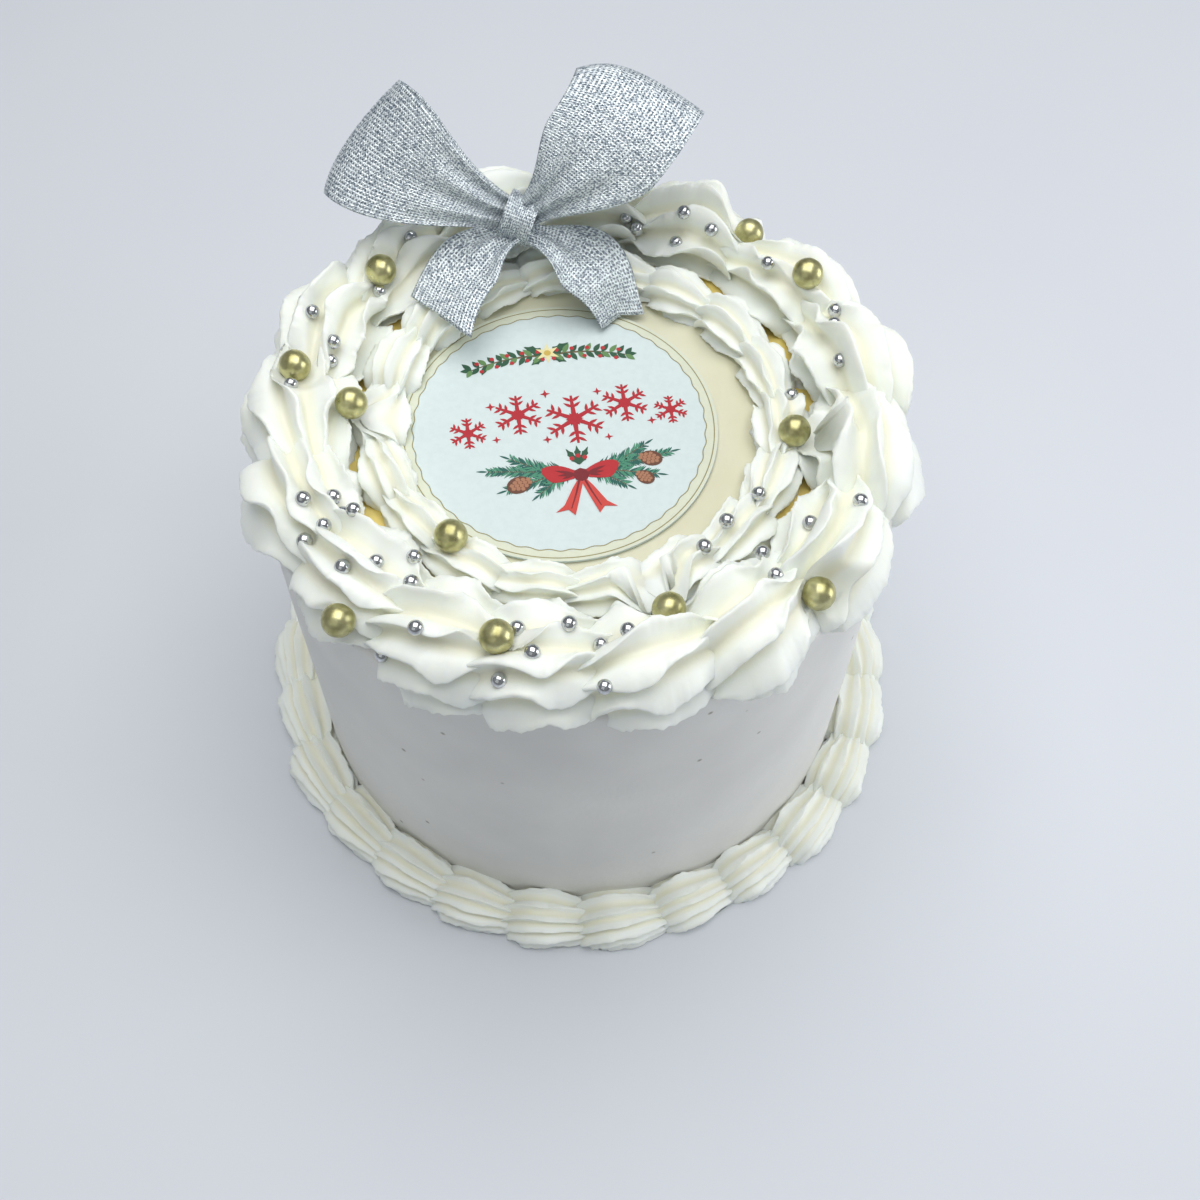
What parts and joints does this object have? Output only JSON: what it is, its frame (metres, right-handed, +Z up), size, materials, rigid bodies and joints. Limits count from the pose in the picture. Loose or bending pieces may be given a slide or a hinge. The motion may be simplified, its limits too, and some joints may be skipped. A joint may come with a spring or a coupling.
{
  "type": "christmas cake",
  "caption": "Round buttercream cake with piped shell borders, sugar pearls, a disc of printed sugar paper on top and a silver ribbon bow at the back.",
  "frame": {"origin": "centre of the flat base of the cake, on its axis", "axes": "+Z up; -Y towards the front, the bow is at the back towards +Y"},
  "size_m": [0.1686, 0.169, 0.1494],
  "materials": {
    "frosting": "smooth matte frosting",
    "buttercream": "piped ivory buttercream with a soft sheen",
    "sugar_paper": "matte printed sugar paper",
    "gold_sugar": "satin gold sugar coating",
    "ribbon": "silver glitter mesh"
  },
  "bodies": {
    "root": {"cake_body": "frosting", "print_disc": "sugar_paper", "inner_border": "buttercream", "bow_ribbon": "ribbon", "bow_tie": "ribbon", "outer_shell_01": "buttercream", "outer_shell_02": "buttercream", "outer_shell_03": "buttercream", "outer_shell_04": "buttercream", "outer_shell_05": "buttercream", "outer_shell_06": "buttercream", "outer_shell_07": "buttercream", "outer_shell_08": "buttercream", "outer_shell_09": "buttercream", "outer_shell_10": "buttercream", "outer_shell_11": "buttercream", "outer_shell_12": "buttercream", "outer_shell_13": "buttercream", "outer_shell_14": "buttercream", "outer_shell_15": "buttercream", "outer_shell_16": "buttercream", "base_shell_01": "buttercream", "base_shell_02": "buttercream", "base_shell_03": "buttercream", "base_shell_04": "buttercream", "base_shell_05": "buttercream", "base_shell_06": "buttercream", "base_shell_07": "buttercream", "base_shell_08": "buttercream", "base_shell_09": "buttercream", "base_shell_10": "buttercream", "base_shell_11": "buttercream", "base_shell_12": "buttercream", "base_shell_13": "buttercream", "base_shell_14": "buttercream", "base_shell_15": "buttercream", "base_shell_16": "buttercream", "base_shell_17": "buttercream", "base_shell_18": "buttercream", "base_shell_19": "buttercream", "base_shell_20": "buttercream", "base_shell_21": "buttercream", "base_shell_22": "buttercream", "base_shell_23": "buttercream", "base_shell_24": "buttercream", "base_shell_25": "buttercream", "base_shell_26": "buttercream", "gold_pearl_01": "gold_sugar", "gold_pearl_02": "gold_sugar", "gold_pearl_03": "gold_sugar", "gold_pearl_04": "gold_sugar", "gold_pearl_05": "gold_sugar", "gold_pearl_06": "gold_sugar", "gold_pearl_07": "gold_sugar", "gold_pearl_08": "gold_sugar", "gold_pearl_09": "gold_sugar", "gold_pearl_10": "gold_sugar", "gold_pearl_11": "gold_sugar"}
  },
  "joints": []
}
